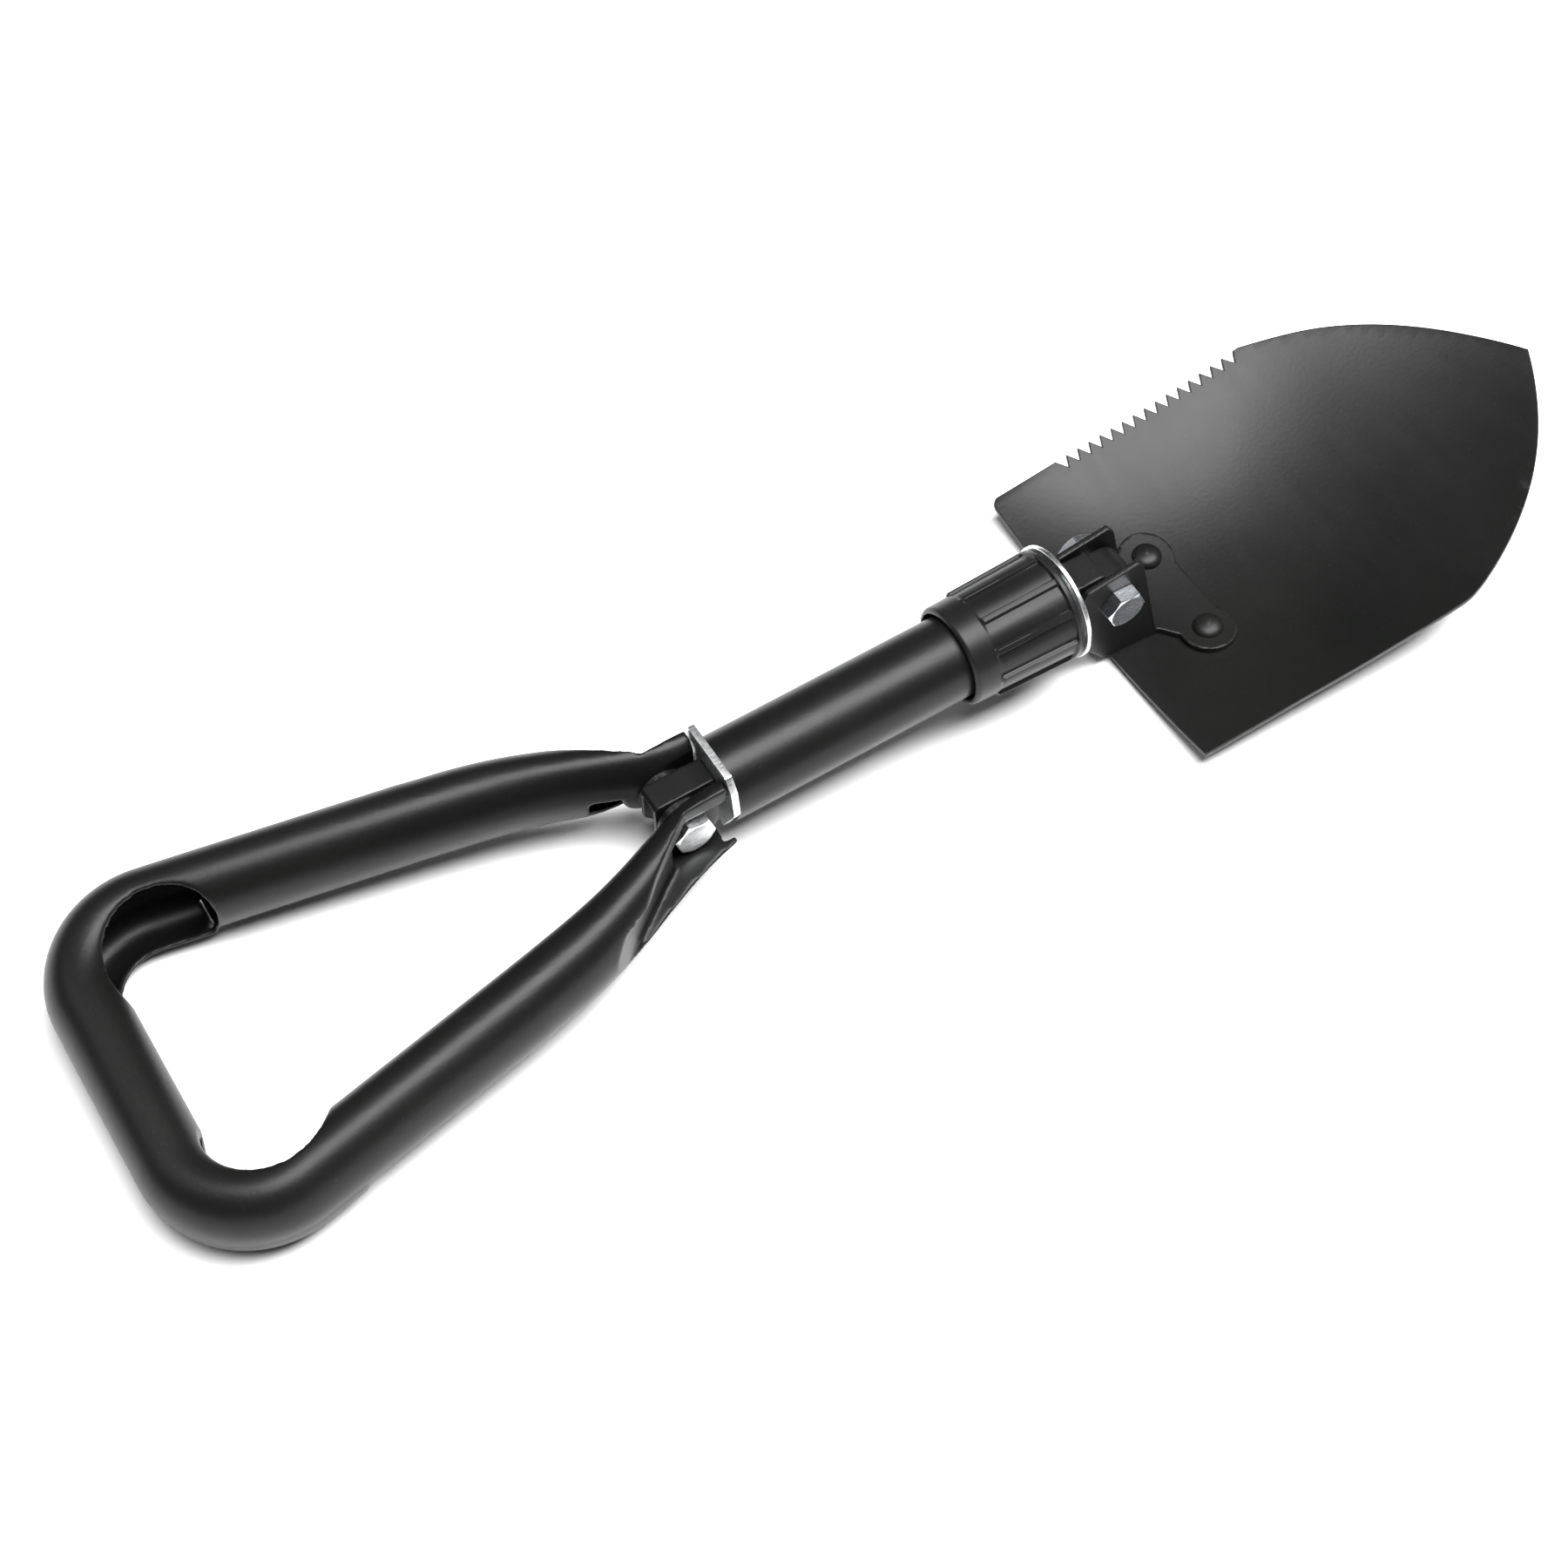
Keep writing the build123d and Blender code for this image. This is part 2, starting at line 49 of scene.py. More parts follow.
# ---- the shaft frame of part.py, in millimetres -------------------------------------
TILT = math.radians(3.268)
SHIFT = Vector((54.71, 0.0, 28.438))
TIP = Matrix.Rotation(-TILT, 3, 'Y')


def world(x, y, z):
    """A point of the shaft frame in the row frame, in metres."""
    return (TIP @ Vector((x, y, z)) + SHIFT) / 1000.0


# ---- mesh helpers -------------------------------------------------------------------
WELD_DISTANCE = 1e-7
CAD_WELD_DISTANCE = 2e-6
AXIS_R = 0.01  # mm, the smallest ring that closes a turned shape on its axis


def add_piece(name, mesh, body, material, replaced=()):
    """Put a finished mesh in the scene as a piece of the shovel."""
    piece = bpy.data.objects.new(name, mesh)
    bpy.context.scene.collection.objects.link(piece)
    piece.data.materials.clear()
    piece.data.materials.append(material)
    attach(piece, body)
    if replaced:
        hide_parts(*replaced)
    return piece


def smooth_by_angle(mesh, degrees):
    """Smooth shading, with edges sharper than the angle kept hard."""
    for face in mesh.polygons:
        face.use_smooth = True
    bm = bmesh.new()
    bm.from_mesh(mesh)
    limit = math.radians(degrees)
    for edge in bm.edges:
        edge.smooth = len(edge.link_faces) == 2 and edge.calc_face_angle(0.0) < limit
    bm.to_mesh(mesh)
    bm.free()
    return mesh


def mesh_from_loops(name, loops):
    """Join rings of points, all of one length, with quads."""
    bm = bmesh.new()
    rings = [[bm.verts.new(p) for p in loop] for loop in loops]
    count = len(rings[0])
    for a, b in zip(rings[:-1], rings[1:]):
        for i in range(count):
            j = (i + 1) % count
            bm.faces.new((a[i], a[j], b[j], b[i]))
    bmesh.ops.recalc_face_normals(bm, faces=bm.faces)
    mesh = bpy.data.meshes.new(name)
    bm.to_mesh(mesh)
    bm.free()
    return mesh


def weld(mesh):
    """Join points that lie on one another and turn every face outwards."""
    bm = bmesh.new()
    bm.from_mesh(mesh)
    bmesh.ops.remove_doubles(bm, verts=bm.verts, dist=WELD_DISTANCE)
    bmesh.ops.recalc_face_normals(bm, faces=bm.faces)
    bm.to_mesh(mesh)
    bm.free()
    return mesh


def lathe(name, profile, place, count):
    """Turn a closed profile of (along, radius) points; place maps (along, u, v) to the frame."""
    loops = []
    for along, radius in profile + profile[:1]:
        ring = []
        for i in range(count):
            turn = 2 * math.pi * i / count
            ring.append(place(along, radius * math.cos(turn), radius * math.sin(turn)))
        loops.append(ring)
    mesh = mesh_from_loops(name, loops)
    return smooth_by_angle(weld(mesh), 38)


def rounded(profile, radius, steps=4):
    """Round the corners of a closed profile of 2-D points."""
    out = []
    total = len(profile)
    for i in range(total):
        before, here, after = (Vector(profile[(i + k) % total]) for k in (-1, 0, 1))
        to_before, to_after = before - here, after - here
        cut = min(radius, 0.45 * to_before.length, 0.45 * to_after.length)
        start = here + to_before.normalized() * cut
        end = here + to_after.normalized() * cut
        for k in range(steps + 1):
            t = k / steps
            point = start.lerp(here, t).lerp(here.lerp(end, t), t)
            out.append((point.x, point.y))
    return out


def clean_copy(node):
    """The node's shape as a plain closed bmesh with its corners welded."""
    bm = bmesh.new()
    bm.from_mesh(nodes[node].data)
    bmesh.ops.remove_doubles(bm, verts=bm.verts, dist=CAD_WELD_DISTANCE)
    bare = bpy.data.meshes.new(node + "_bare")
    verts = [v.co.copy() for v in bm.verts]
    bm.verts.index_update()
    faces = [[v.index for v in f.verts] for f in bm.faces]
    bm.free()
    bare.from_pydata(verts, [], faces)
    bare.validate()
    return bare


def with_modifiers(mesh, name, *settings):
    """The mesh after a stack of modifiers, each given as (kind, {option: value})."""
    holder = bpy.data.objects.new(name + "_holder", mesh)
    bpy.context.scene.collection.objects.link(holder)
    for kind, options in settings:
        modifier = holder.modifiers.new(kind.lower(), kind)
        for option, value in options.items():
            setattr(modifier, option, value)
    bpy.context.view_layer.update()
    graph = bpy.context.evaluated_depsgraph_get()
    result = bpy.data.meshes.new_from_object(holder.evaluated_get(graph))
    result.name = name
    bpy.data.objects.remove(holder)
    return result


def pressed_copy(node, voxel, rounds):
    """The node remeshed evenly and relaxed, so its edges and corners come out rounded."""
    remesh = ("REMESH", {"mode": 'VOXEL', "voxel_size": voxel, "use_smooth_shade": True})
    relax = ("SMOOTH", {"factor": 0.5, "iterations": rounds})
    mesh = with_modifiers(clean_copy(node), node + "_pressed", remesh, relax)
    for face in mesh.polygons:
        face.use_smooth = True
    return mesh


def edged_copy(node, width):
    """The node with a small round on each sharp edge."""
    bevel = ("BEVEL", {"width": width, "segments": 2, "limit_method": 'ANGLE',
                       "angle_limit": math.radians(30), "use_clamp_overlap": True,
                       "harden_normals": False})
    mesh = with_modifiers(clean_copy(node), node + "_edged", bevel)
    return smooth_by_angle(mesh, 40)


# ---- material helpers ---------------------------------------------------------------
BLACK_SPECULAR = 0.2  # low, so that black stays dark beside the bright studio light


class Nodes:
    """A small writer of node materials."""

    def __init__(self, name):
        self.material = bpy.data.materials.new(name)
        self.material.use_nodes = True
        self.tree = self.material.node_tree
        self.shader = self.tree.nodes["Principled BSDF"]
        self.coords = self.add("ShaderNodeTexCoord").outputs["Object"]

    def add(self, kind, **options):
        """A new node with its options set."""
        node = self.tree.nodes.new(kind)
        for option, value in options.items():
            setattr(node, option, value)
        return node

    def link(self, output, socket):
        self.tree.links.new(output, socket)

    def noise(self, scale, detail=4.0, rough=0.55, stretch=None, distortion=0.0):
        """A noise field; scale is in features per metre."""
        node = self.add("ShaderNodeTexNoise")
        node.inputs["Scale"].default_value = scale
        node.inputs["Detail"].default_value = detail
        node.inputs["Roughness"].default_value = rough
        node.inputs["Distortion"].default_value = distortion
        source = self.coords
        if stretch:
            mapping = self.add("ShaderNodeMapping")
            mapping.inputs["Scale"].default_value = stretch
            self.link(source, mapping.inputs["Vector"])
            source = mapping.outputs["Vector"]
        self.link(source, node.inputs["Vector"])
        return node.outputs["Fac"]

    def ramp(self, source, stops):
        """Map a field through (position, value) stops; a value is grey or a colour."""
        node = self.add("ShaderNodeValToRGB")
        points = node.color_ramp.elements
        while len(points) < len(stops):
            points.new(0.5)
        for point, (position, value) in zip(points, stops):
            grey = isinstance(value, (int, float))
            point.position = position
            point.color = (value, value, value, 1) if grey else (*value, 1)
        self.link(source, node.inputs["Fac"])
        return node.outputs["Color"]

    def mix(self, share, a, b, mode='MIX'):
        """Blend two colours; each argument is a socket, a colour or a number."""
        node = self.add("ShaderNodeMix", data_type='RGBA', blend_type=mode)
        for socket, value in ((node.inputs[0], share), (node.inputs[6], a), (node.inputs[7], b)):
            if isinstance(value, bpy.types.NodeSocket):
                self.link(value, socket)
            elif isinstance(value, tuple):
                socket.default_value = (*value, 1)
            else:
                socket.default_value = value
        return node.outputs[2]

    def edges(self, low, high):
        """1 on outward edges, 0 elsewhere, from the shape's own curvature."""
        return self.ramp(self.add("ShaderNodeNewGeometry").outputs["Pointiness"],
                         [(low, 0.0), (high, 1.0)])

    def bump(self, fields, distance):
        """Bump the surface by (field, strength) pairs, one after another."""
        normal = None
        for field, strength in fields:
            node = self.add("ShaderNodeBump")
            node.inputs["Strength"].default_value = strength
            node.inputs["Distance"].default_value = distance
            self.link(field, node.inputs["Height"])
            if normal:
                self.link(normal, node.inputs["Normal"])
            normal = node.outputs["Normal"]
        self.link(normal, self.shader.inputs["Normal"])

    def set(self, **values):
        """Constant values straight on the shader's sockets."""
        for name, value in values.items():
            self.shader.inputs[name.replace("_", " ")].default_value = value


def black_paint(name, roughness=0.36, wear=0.5):
    """Baked black enamel on steel: orange peel, faint dust, rubbed edges."""
    n = Nodes(name)
    cloud = n.noise(14, 5)
    specks = n.ramp(n.noise(2600, 2, 0.4), [(0.70, 0.0), (0.76, 1.0)])
    rubs = n.noise(420, 6, 0.7)
    base = n.ramp(cloud, [(0.3, (0.0036, 0.0040, 0.0037)), (0.7, (0.0062, 0.0066, 0.0060))])
    base = n.mix(n.mix(1.0, specks, (0.3, 0.3, 0.3), 'MULTIPLY'), base, (0.06, 0.06, 0.055))
    worn = n.mix(1.0, n.edges(0.52, 0.62), n.ramp(rubs, [(0.45, 0.0), (0.72, 1.0)]), 'MULTIPLY')
    worn = n.mix(1.0, worn, (wear, wear, wear), 'MULTIPLY')
    n.link(n.mix(worn, base, (0.085, 0.085, 0.083)), n.shader.inputs["Base Color"])
    gloss = n.ramp(cloud, [(0.25, roughness - 0.04), (0.75, roughness + 0.05)])
    smear = n.ramp(n.noise(60, 6, 0.7, (1.0, 0.35, 1.0), 0.6), [(0.35, 0.0), (0.75, 1.0)])
    gloss = n.mix(n.mix(1.0, smear, (0.35, 0.35, 0.35), 'MULTIPLY'), gloss, (0.5, 0.5, 0.5))
    n.link(n.mix(worn, gloss, (0.42, 0.42, 0.42)), n.shader.inputs["Roughness"])
    n.bump([(n.noise(900, 2, 0.4), 0.10), (n.noise(90, 3, 0.5), 0.10)], 0.0002)
    n.set(Specular_IOR_Level=BLACK_SPECULAR, IOR=1.5)
    return n.material


def black_plastic(name):
    """Moulded black plastic with a fine spark-eroded grain."""
    n = Nodes(name)
    cloud = n.noise(40, 5)
    grain = n.noise(3200, 3, 0.6)
    base = n.ramp(cloud, [(0.3, (0.0060, 0.0064, 0.0061)), (0.7, (0.0095, 0.0098, 0.0093))])
    dust = n.ramp(n.noise(1500, 5, 0.7), [(0.62, 0.0), (0.8, 0.35)])
    scuffs = n.ramp(n.noise(700, 5, 0.7), [(0.4, 0.0), (0.7, 0.6)])
    edge = n.mix(1.0, n.edges(0.52, 0.60), scuffs, 'MULTIPLY')
    base = n.mix(dust, base, (0.035, 0.035, 0.033))
    n.link(n.mix(edge, base, (0.05, 0.05, 0.048)), n.shader.inputs["Base Color"])
    n.link(n.ramp(cloud, [(0.25, 0.33), (0.75, 0.43)]), n.shader.inputs["Roughness"])
    n.bump([(grain, 0.12), (n.noise(250, 3), 0.08)], 0.0001)
    n.set(Specular_IOR_Level=BLACK_SPECULAR, IOR=1.49)
    return n.material


def bright_zinc(name, roughness=0.30, tint=(0.80, 0.815, 0.83)):
    """Zinc plating: pale, faintly cloudy, with fine drag marks."""
    n = Nodes(name)
    cloud = n.noise(160, 5, 0.6)
    dull = tuple(0.72 * v for v in tint)
    spots = n.ramp(n.noise(1400, 5, 0.7), [(0.66, 0.0), (0.74, 0.7)])
    base = n.ramp(cloud, [(0.3, dull), (0.65, tint)])
    n.link(n.mix(spots, base, (0.35, 0.34, 0.32)), n.shader.inputs["Base Color"])
    marks = n.noise(500, 6, 0.7, (1.0, 9.0, 9.0))
    n.link(n.ramp(marks, [(0.3, roughness - 0.08), (0.75, roughness + 0.14)]),
           n.shader.inputs["Roughness"])
    n.bump([(marks, 0.12), (n.noise(900, 3), 0.10)], 0.0001)
    n.set(Metallic=1.0)
    return n.material


PAINT = black_paint("black_paint")
PAINT_BLADE = black_paint("black_paint_blade", 0.31, 0.6)
PAINT_TUBE = black_paint("black_paint_tube", 0.34, 0.4)
PLASTIC = black_plastic("black_plastic")
ZINC = bright_zinc("bright_zinc")
BOLT_ZINC = bright_zinc("bolt_zinc", 0.27, (0.62, 0.65, 0.69))
STEEL = bright_zinc("plain_steel", 0.36, (0.50, 0.50, 0.50))

# ---- blade ----------------------------------------------------------------------------
BLADE_T = 1.5
HEEL_X = 14.4
HEEL_HALF = 48.7
NEAR_HEEL_HALF = 48.0
SHOULDER_X = 98.0
SHOULDER_HALF = 51.2
NEAR_SHOULDER_HALF = 49.5
TIP_X = 154.5
SHOULDER_R = 18.0
HEEL_R = 2.4
TOOTH_PITCH = 3.77
TOOTH_COUNT = 15
TOOTH_DEPTH = 2.9
TOOTH_RAKE = 0.3
TOOTH_STAND_OUT = 0.2
FAR_ARC_POINT = (130.5, 32.4)
NEAR_ARC_POINT = (130.5, -31.8)
DISH_HALF = 50.0
RIM_ROUND = 0.35
BLADE_CELL = 3.0
CELL_SHIFT = 0.0137  # keeps the cuts off the outline's own corners
FIRST_TOOTH_X = 39.7
# x, height of the centre line, rise of the dish at DISH_HALF out from the centre line
BLADE_STATIONS = [
    (-6.0, -24.6, 2.0),
    (14.4, -26.0, 5.2),
    (41.0, -28.9, 10.2),
    (70.0, -27.7, 10.9),
    (98.0, -21.0, 8.2),
    (122.0, -11.4, 8.0),
    (145.0, -2.9, 8.0),
    (168.0, 5.6, 8.0),
]


def catmull(before, start, end, after, share):
    """A smooth value between start and end."""
    first = 2 * start
    second = (end - before) * share
    third = (2 * before - 5 * start + 4 * end - after) * share ** 2
    fourth = (3 * start - before - 3 * end + after) * share ** 3
    return 0.5 * (first + second + third + fourth)


def from_stations(x, stations, column):
    """One column of a table of stations, read smoothly at x."""
    last = len(stations) - 2
    index = max(i for i in range(last + 1) if i == 0 or stations[i][0] <= x)
    share = (x - stations[index][0]) / (stations[index + 1][0] - stations[index][0])
    picks = [stations[min(max(index + k, 0), last + 1)][column] for k in (-1, 0, 1, 2)]
    return catmull(*picks, share)


def blade_height(x, y):
    """Height of the blade's hollow face."""
    centre = from_stations(x, BLADE_STATIONS, 1)
    return centre + from_stations(x, BLADE_STATIONS, 2) * (y / DISH_HALF) ** 2


def edge_half(x):
    """Half width of the blade along its saw edge."""
    share = (x - HEEL_X) / (SHOULDER_X - HEEL_X)
    return HEEL_HALF + share * (SHOULDER_HALF - HEEL_HALF)


def arc_through(a, b, c, count):
    """Points on the circle through three points, from a to c."""
    ax, ay = a
    bx, by = b
    cx, cy = c
    d = 2 * (ax * (by - cy) + bx * (cy - ay) + cx * (ay - by))
    sa, sb, sc = ax * ax + ay * ay, bx * bx + by * by, cx * cx + cy * cy
    ux = (sa * (by - cy) + sb * (cy - ay) + sc * (ay - by)) / d
    uy = (sa * (cx - bx) + sb * (ax - cx) + sc * (bx - ax)) / d
    radius = math.hypot(ax - ux, ay - uy)
    start = math.atan2(ay - uy, ax - ux)
    sweep = (math.atan2(cy - uy, cx - ux) - start + math.pi) % (2 * math.pi) - math.pi
    return [(ux + radius * math.cos(start + sweep * i / count),
             uy + radius * math.sin(start + sweep * i / count)) for i in range(count + 1)]


def round_corner(a, corner, b, radius, steps=8):
    """Points of a fillet at a corner between two straight directions."""
    to_a = (Vector(a) - Vector(corner)).normalized()
    to_b = (Vector(b) - Vector(corner)).normalized()
    half = to_a.angle(to_b) / 2
    reach = radius / math.tan(half)
    middle = Vector(corner) + (to_a + to_b).normalized() * (radius / math.sin(half))
    start = Vector(corner) + to_a * reach - middle
    end = Vector(corner) + to_b * reach - middle
    turn = start.angle_signed(end)
    points = []
    for i in range(steps + 1):
        spun = Matrix.Rotation(-turn * i / steps, 2) @ start
        points.append(tuple(middle + spun))
    return points


def blade_outline():
    """The blade's edge seen from above, going round once."""
    rake = TOOTH_RAKE * TOOTH_PITCH
    first = FIRST_TOOTH_X - TOOTH_PITCH
    points = round_corner((HEEL_X, 0), (HEEL_X, HEEL_HALF), (first, edge_half(first)), HEEL_R)
    points.append((first, edge_half(first)))
    for index in range(TOOTH_COUNT + 1):
        tip = FIRST_TOOTH_X + index * TOOTH_PITCH
        root = tip - rake
        points.append((root, edge_half(root) - TOOTH_DEPTH))
        stand_out = TOOTH_STAND_OUT if index < TOOTH_COUNT else 0.0
        points.append((tip, edge_half(tip) + stand_out))
    points += arc_through((SHOULDER_X, SHOULDER_HALF), FAR_ARC_POINT, (TIP_X, 0), 40)
    shoulder = (SHOULDER_X, -NEAR_SHOULDER_HALF)
    heel = (HEEL_X, -NEAR_HEEL_HALF)
    near = arc_through((TIP_X, 0), NEAR_ARC_POINT, shoulder, 120)
    turned = round_corner(near[-12], shoulder, heel, SHOULDER_R)
    points += [p for p in near[1:] if p[0] > turned[0][0] + 0.5]
    points += turned
    points.append(heel)
    return points


def sheet_from_outline(name, outline, height, thickness, lift, edge, cell):
    """A thick plate with rounded edges, cut into small cells and laid on a height field."""
    bm = bmesh.new()
    ring = [bm.verts.new((x, y, 0.0)) for x, y in outline]
    face = bm.faces.new(ring)
    face.normal_update()
    if face.normal.z < 0:
        face.normal_flip()
    made = bmesh.ops.extrude_face_region(bm, geom=[face])
    top = [v for v in made["geom"] if isinstance(v, bmesh.types.BMVert)]
    bmesh.ops.translate(bm, vec=(0, 0, thickness), verts=top)
    bmesh.ops.recalc_face_normals(bm, faces=bm.faces)
    rims = [e for e in bm.edges if abs(e.verts[0].co.z - e.verts[1].co.z) < 1e-6]
    bmesh.ops.bevel(bm, geom=rims, offset=edge, segments=3, profile=0.6,
                    affect='EDGES', clamp_overlap=True)
    xs = [x for x, _ in outline]
    ys = [y for _, y in outline]
    for axis, low, high in ((0, min(xs), max(xs)), (1, min(ys), max(ys))):
        normal = (1, 0, 0) if axis == 0 else (0, 1, 0)
        for cut in range(1, int((high - low) / cell) + 1):
            place = low + cut * cell + CELL_SHIFT
            point = (place, 0, 0) if axis == 0 else (0, place, 0)
            geometry = bm.verts[:] + bm.edges[:] + bm.faces[:]
            bmesh.ops.bisect_plane(bm, geom=geometry, plane_co=point, plane_no=normal)
    bmesh.ops.triangulate(bm, faces=[f for f in bm.faces if len(f.verts) > 4])
    for v in bm.verts:
        x, y, z = v.co
        v.co = world(x, y, height(x, y) + lift + z)
    bmesh.ops.recalc_face_normals(bm, faces=bm.faces)
    mesh = bpy.data.meshes.new(name)
    bm.to_mesh(mesh)
    bm.free()
    return smooth_by_angle(mesh, 50)


def build_blade():
    mesh = sheet_from_outline("blade_sheet", blade_outline(), blade_height, BLADE_T,
                              -BLADE_T, RIM_ROUND, BLADE_CELL)
    add_piece("blade_sheet", mesh, "blade", PAINT_BLADE, ["blade_plate"])
    bracket = pressed_copy("blade_bracket", 0.00035, 4)
    add_piece("blade_bracket_pressed", bracket, "blade", PAINT,
              ["blade_bracket"])


# ---- rivets and bolts -------------------------------------------------------------------
RIVET_X = 41.4
RIVET_Y = 13.7
BRACKET_T = 1.8
RIVET_R = 2.4
RIVET_HEAD_R = 4.05
RIVET_RIM = 0.35
RIVET_DOME = 1.95
THREAD_PITCH = 1.0
PIVOT = (14.2, -2.0)
HANDLE_PIVOT = (-113.0, 0.0)
EAR_OUT = 7.4
HEAD_FLATS = 10.0
HEAD_T = 4.0
NUT_T = 5.0
BOLT_R = 3.0
TAB_FACE = 7.6


def build_rivet(side, name):
    """A domed rivet with a flat tail behind the blade."""
    x, y = RIVET_X, side * RIVET_Y
    top = blade_height(x, y) + BRACKET_T
    back = -(BLADE_T + BRACKET_T)
    profile = [(back - 2.0, AXIS_R), (back - 1.0, 2.6), (back - 0.8, 3.5), (back, 3.6),
               (back, RIVET_R), (-0.2, RIVET_R), (-0.2, RIVET_HEAD_R),
               (RIVET_RIM, RIVET_HEAD_R)]
    for i in range(1, 10):
        turn = math.pi / 2 * i / 9
        profile.append((RIVET_RIM + RIVET_DOME * math.sin(turn),
                        max(RIVET_HEAD_R * math.cos(turn), AXIS_R)))
    mesh = lathe(name, profile, lambda a, u, v: world(x + u, y + v, top + a), 64)
    add_piece(name, mesh, "blade", PAINT,
              ["blade_rivet_left" if side > 0 else "blade_rivet_right"])


def hexagon(name, centre, base, height, bore=0.0, turn=0.0):
    """A hexagon head or nut along Y with chamfered corners; base to base + height."""
    x, z = centre
    count = 96
    inner = 0.47 * HEAD_FLATS
    sign = 1 if height > 0 else -1
    thick = abs(height)

    def ring(radius_at, depth_at):
        points = []
        for i in range(count):
            angle = 2 * math.pi * i / count
            local = (angle + math.pi / 6) % (math.pi / 3) - math.pi / 6
            flat = HEAD_FLATS / 2 / math.cos(local)
            radius = radius_at(flat)
            depth = depth_at(flat)
            spun = angle + turn
            points.append(world(x + radius * math.cos(spun), base + sign * depth,
                                z + radius * math.sin(spun)))
        return points

    def corner_drop(flat):
        return 0.55 * max(flat - inner - 0.30, 0.0)

    loops = [ring(lambda f: max(bore, AXIS_R), lambda f: 0.0),
             ring(lambda f: f - 0.1, lambda f: 0.0),
             ring(lambda f: f, lambda f: 0.12),
             ring(lambda f: f, lambda f: thick - 0.12 - corner_drop(f)),
             ring(lambda f: f - 0.10, lambda f: thick - 0.02 - corner_drop(f)),
             ring(lambda f: inner + 0.1, lambda f: thick),
             ring(lambda f: inner - 0.25, lambda f: thick)]
    if bore:
        loops += [ring(lambda f: bore + 0.35, lambda f: thick),
                  ring(lambda f: bore, lambda f: thick - 0.35),
                  ring(lambda f: bore, lambda f: 0.0)]
    else:
        loops += [ring(lambda f: inner - 0.75, lambda f: thick - 0.14),
                  ring(lambda f: AXIS_R, lambda f: thick - 0.14)]
    mesh = mesh_from_loops(name, loops)
    return smooth_by_angle(mesh, 28)


def stud_end(name, centre, start, end):
    """The threaded end of a bolt along Y."""
    x, z = centre
    profile = [(start, AXIS_R), (start, BOLT_R - 0.1)]
    turns = int(abs(end - start) / THREAD_PITCH)
    rise = (end - start) / (2 * turns + 1)
    for i in range(1, 2 * turns + 1):
        profile.append((start + i * rise, BOLT_R - (0.05 if i % 2 else 0.55)))
    profile += [(end - 0.1 * (1 if end > start else -1), BOLT_R - 0.7), (end, AXIS_R)]
    return lathe(name, profile, lambda a, u, v: world(x + u, a, z + v), 48)


def build_bolts():
    head = hexagon("blade_bolt_head", PIVOT, -EAR_OUT, -HEAD_T, turn=0.42)
    add_piece("blade_bolt_head", head, "blade", BOLT_ZINC, ["blade_pivot_bolt"])
    stud = stud_end("blade_bolt_stud", PIVOT, -EAR_OUT + 0.5, EAR_OUT + NUT_T + 1.2)
    add_piece("blade_bolt_stud", stud, "blade", BOLT_ZINC)
    nut = hexagon("blade_bolt_nut", PIVOT, EAR_OUT, NUT_T, BOLT_R, 0.2)
    add_piece("blade_bolt_nut", nut, "blade", BOLT_ZINC, ["blade_pivot_nut"])
    head = hexagon("handle_bolt_head", HANDLE_PIVOT, -TAB_FACE, -HEAD_T, turn=0.3)
    add_piece("handle_bolt_head", head, "handle", ZINC, ["handle_pivot_bolt"])
    stud = stud_end("handle_bolt_stud", HANDLE_PIVOT, -TAB_FACE + 0.5, TAB_FACE + NUT_T + 1.0)
    add_piece("handle_bolt_stud", stud, "handle", ZINC)
    nut = hexagon("handle_bolt_nut", HANDLE_PIVOT, TAB_FACE, NUT_T, BOLT_R, 0.1)
    add_piece("handle_bolt_nut", nut, "handle", ZINC, ["handle_pivot_nut"])


# ---- shaft, collar and handle -------------------------------------------------------------
TUBE_BACK = -101.0
TUBE_FRONT = -0.6
TUBE_R = 11.0
TUBE_BORE_R = 9.5


def build_shaft():
    wall = [(TUBE_BACK, TUBE_R), (TUBE_FRONT, TUBE_R), (TUBE_FRONT, TUBE_BORE_R),
            (TUBE_BACK, TUBE_BORE_R)]
    tube = lathe("tube", rounded(wall, 0.5), world, 128)
    add_piece("tube", tube, "shaft", PAINT_TUBE, ["shaft_tube"])
    for node, voxel in (("handle_bracket", 0.00030), ("blade_tongue", 0.00035)):
        add_piece(node + "_pressed", pressed_copy(node, voxel, 3), "shaft",
                  PAINT, [node])
    plate = edged_copy("stop_plate", 0.00025)
    add_piece("stop_plate_edged", plate, "shaft", ZINC, ["stop_plate"])


COLLAR_BACK = -33.0
COLLAR_FRONT = -1.9
RIB_COUNT = 10
RIB_TURN = 13.0
BAND_LENGTH = 7.0
FLANGE_LENGTH = 1.6
COLLAR_R_BACK = 14.2
COLLAR_TAPER = 0.8
BACK_ROUND = 1.2
FRONT_ROUND = 0.25
INSERT_BACK = -28.5
INSERT_FRONT = -9.4
INSERT_SEAT_R = 13.02
RING_R = 15.5
RING_T = 1.25


def smooth_step(low, high, value):
    """0 below low, 1 above high, smooth between them."""
    share = min(max((value - low) / (high - low), 0.0), 1.0)
    return share * share * (3 - 2 * share)


